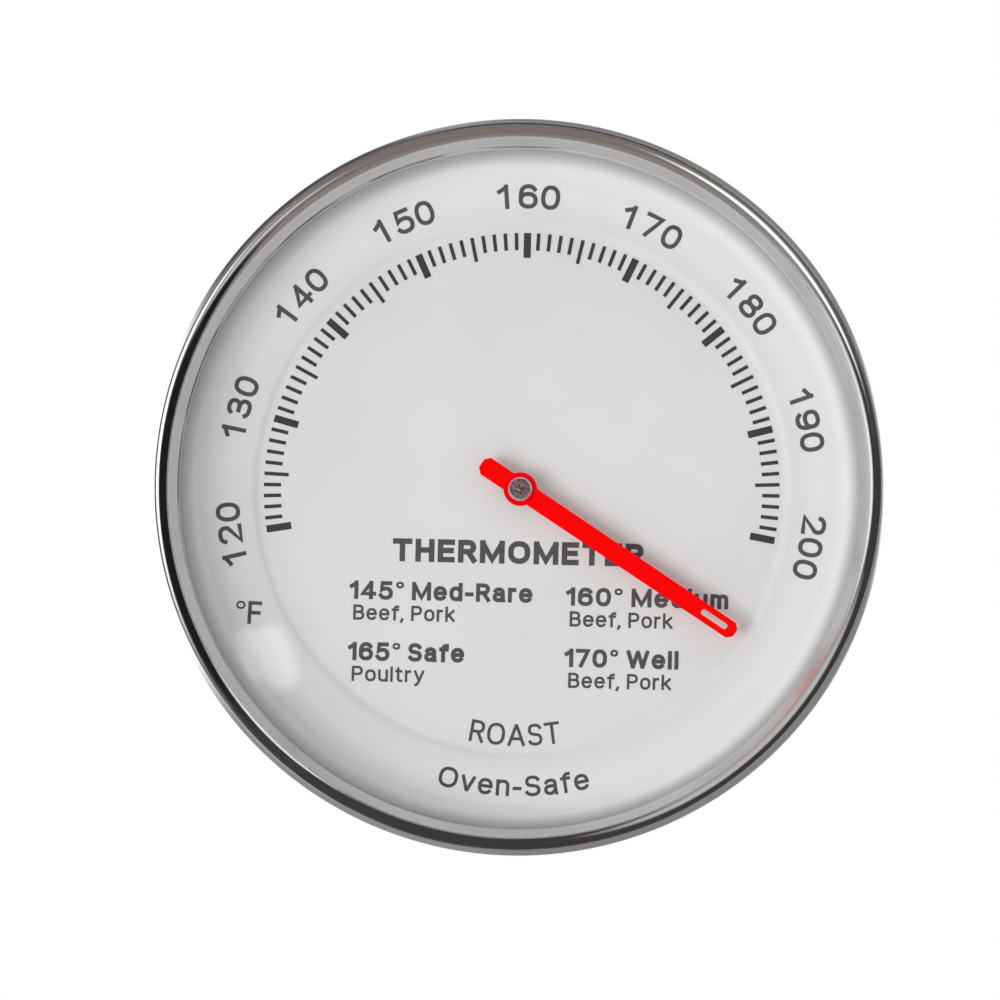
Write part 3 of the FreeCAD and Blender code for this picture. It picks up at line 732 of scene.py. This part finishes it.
def make_words(material):
    """The name of the instrument, the temperatures for meat and two words at the foot."""
    ink = Print()
    write_line(ink, "THERMOMETER", -0.14 * MM, -7.4 * MM, 2.3 * MM, 0.55 * MM, 25.2 * MM)
    for heading, note, left, base, heading_length, note_length in ADVICE:
        middle = (left + heading_length / 2) * MM
        write_line(ink, heading, middle, base * MM, HEADING_CAP, BOLD, heading_length * MM)
        middle = (left + 0.42 + note_length / 2) * MM
        write_line(ink, note, middle, base * MM - NOTE_DROP, NOTE_CAP, LIGHT, note_length * MM)
    write_arc(ink, "ROAST", 24.5 * MM, 180, 2.2 * MM, 0.3 * MM, 9.0 * MM, over=False)
    write_arc(ink, "Oven-Safe", 29.6 * MM, 180, 2.07 * MM, 0.33 * MM, 15.1 * MM, over=False)
    ink.finish("dial_words", material)


make_scale(dial_ink("scale_ink", (0.035, 0.035, 0.037)))
make_figures(dial_ink("figure_ink", (0.065, 0.065, 0.067)))
make_words(dial_ink("word_ink", (0.06, 0.06, 0.064)))


# ---------------------------------------------------------------------------------------------
# The studio
# ---------------------------------------------------------------------------------------------
def toward(aside, above):
    """A direction from the head: degrees to the dial's right of straight ahead, and above it."""
    a, e = math.radians(aside), math.radians(above)
    return Vector((math.sin(a) * math.cos(e), -math.cos(a) * math.cos(e), math.sin(e)))


SENSOR_WIDTH = 36  # millimetres, as Blender has it
LENS_LENGTH = 218.8
CAMERA_DISTANCE = 0.6
CAMERA_ASIDE = 2.9  # degrees, as are the next two
CAMERA_ABOVE = -2.91
CAMERA_ROLL = 1.45
AIM_X = -1.66 * MM
AIM_Z = -1.47 * MM


def make_camera():
    """A long lens a little below and right of the dial's axis, held slightly out of level."""
    data = bpy.data.cameras.new("camera")
    data.sensor_width = SENSOR_WIDTH
    data.lens = LENS_LENGTH
    data.clip_start = 0.01
    data.clip_end = 20
    camera = bpy.data.objects.new("camera", data)
    bpy.context.collection.objects.link(camera)
    back = toward(CAMERA_ASIDE, CAMERA_ABOVE)
    level = (-back).to_track_quat("-Z", "Y")
    aim = Vector((AIM_X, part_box("bezel_ring")[0].y, AIM_Z))
    camera.location = aim + back * CAMERA_DISTANCE
    camera.rotation_mode = "QUATERNION"
    camera.rotation_quaternion = level @ Quaternion((0, 0, 1), math.radians(CAMERA_ROLL))
    bpy.context.scene.camera = camera


# the room as the object mirrors it, painted from the first to the last: a patch's direction (aside
# and above straight ahead), how far from it in degrees the patch is whole and where it has faded
# out, and its colour
PATCHES = (
    ((-125, 3), 34, 64, (1.5, 1.5, 1.5)),
    ((-136, -46), 16, 30, (0.36, 0.36, 0.36)),
    ((-130, 43), 14, 26, (0.1, 0.1, 0.1)),
    ((140, 4), 18, 25, (1.7, 1.7, 1.7)),
    ((0, 42), 62, 80, (0.055, 0.055, 0.055)),
    ((58, 0), 34, 42, (0.015, 0.015, 0.015)),
    ((98, 50), 10, 20, (1.5, 1.5, 1.5)),
    ((-34, 2), 26, 36, (0.05, 0.05, 0.05)),
    ((-58, 41), 16, 30, (0.6, 0.6, 0.6)),
    ((0, -38), 30, 42, (0.23, 0.205, 0.195)),
    ((-31, -21), 10, 17, (1.35, 1.35, 1.35)),
    ((14, 1), 6, 11, (1.7, 1.7, 1.7)),
    ((24, -20), 6, 12, (0.7, 0.7, 0.7)),
    ((-5.24, 1.53), 0.02, 0.16, (3.6, 3.6, 3.6)),
    ((-5.19, 1.4), 0.02, 0.17, (3.6, 3.6, 3.6)),
    ((-5.13, 1.27), 0.02, 0.17, (3.6, 3.6, 3.6)),
    ((-5.02, 1.53), 0.04, 0.21, (4.2, 4.2, 4.2)),
    ((-4.96, 1.38), 0.05, 0.23, (4.2, 4.2, 4.2)),
    ((-4.92, 1.22), 0.04, 0.22, (4.2, 4.2, 4.2)),
)
ROOM = (0.3, 0.3, 0.3)
AMBIENT = (0.76, 0.755, 0.755)  # the soft light that falls on what is not shiny


def make_room():
    """A white backdrop to look at, and round it the soft light and dark of a small studio."""
    world = bpy.data.worlds.new("studio")
    world.use_nodes = True
    room = Tree(world.node_tree)
    looking = room.node("ShaderNodeTexCoord").outputs["Generated"]
    colour = room.mix(0.0, ROOM, ROOM)
    for (aside, above), whole, gone, light in PATCHES:
        near = room.vector("DOT_PRODUCT", looking, tuple(toward(aside, above)), "Value")
        share = room.fade(near, math.cos(math.radians(gone)), math.cos(math.radians(whole)))
        colour = room.mix(share, colour, light)
    ray = room.node("ShaderNodeLightPath").outputs
    colour = room.mix(ray["Is Diffuse Ray"], colour, AMBIENT)
    colour = room.mix(ray["Is Camera Ray"], colour, (1.0, 1.0, 1.0))
    shine = room.node("ShaderNodeBackground", {"Color": colour, "Strength": 1.0})
    output = room.node("ShaderNodeOutputWorld")
    room.tree.links.new(shine.outputs[0], output.inputs["Surface"])
    world.cycles.sampling_method = "NONE"
    bpy.context.scene.world = world


MAIN_LIGHT = (-36, -12)  # its direction, aside and above
MAIN_DISTANCE = 1.1
MAIN_ACROSS = 0.7
MAIN_WATTS = 7.0


def make_main_light():
    """The soft light that falls on the dial from in front, below and to the left."""
    data = bpy.data.lights.new("main_light", "AREA")
    data.shape = "DISK"
    data.size = MAIN_ACROSS
    data.energy = MAIN_WATTS
    light = bpy.data.objects.new("main_light", data)
    bpy.context.collection.objects.link(light)
    away = toward(*MAIN_LIGHT)
    light.location = away * MAIN_DISTANCE
    light.rotation_mode = "QUATERNION"
    light.rotation_quaternion = away.to_track_quat("Z", "Y")
    light.visible_glossy = False
    light.visible_camera = False


FLOOR_RADIUS = 1.0
FLOOR_DROP = 0.055  # from the head's foot to the floor


def make_floor():
    """A plain pale round table below the thermometer, which hides none of the light from below."""
    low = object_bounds()[0].z
    mesh = bmesh.new()
    bmesh.ops.create_circle(mesh, cap_ends=True, segments=96, radius=FLOOR_RADIUS)
    data = bpy.data.meshes.new("floor")
    mesh.to_mesh(data)
    mesh.free()
    floor = bpy.data.objects.new("floor", data)
    floor.location = (0, 0, low - FLOOR_DROP)
    bpy.context.collection.objects.link(floor)
    data.materials.append(matt_paint("floor_paint", (0.9, 0.9, 0.9)))
    floor.visible_shadow = False
    floor.visible_diffuse = False
    floor.visible_glossy = False


make_camera()
make_room()
make_main_light()
make_floor()
bpy.context.scene.view_settings.view_transform = "Standard"
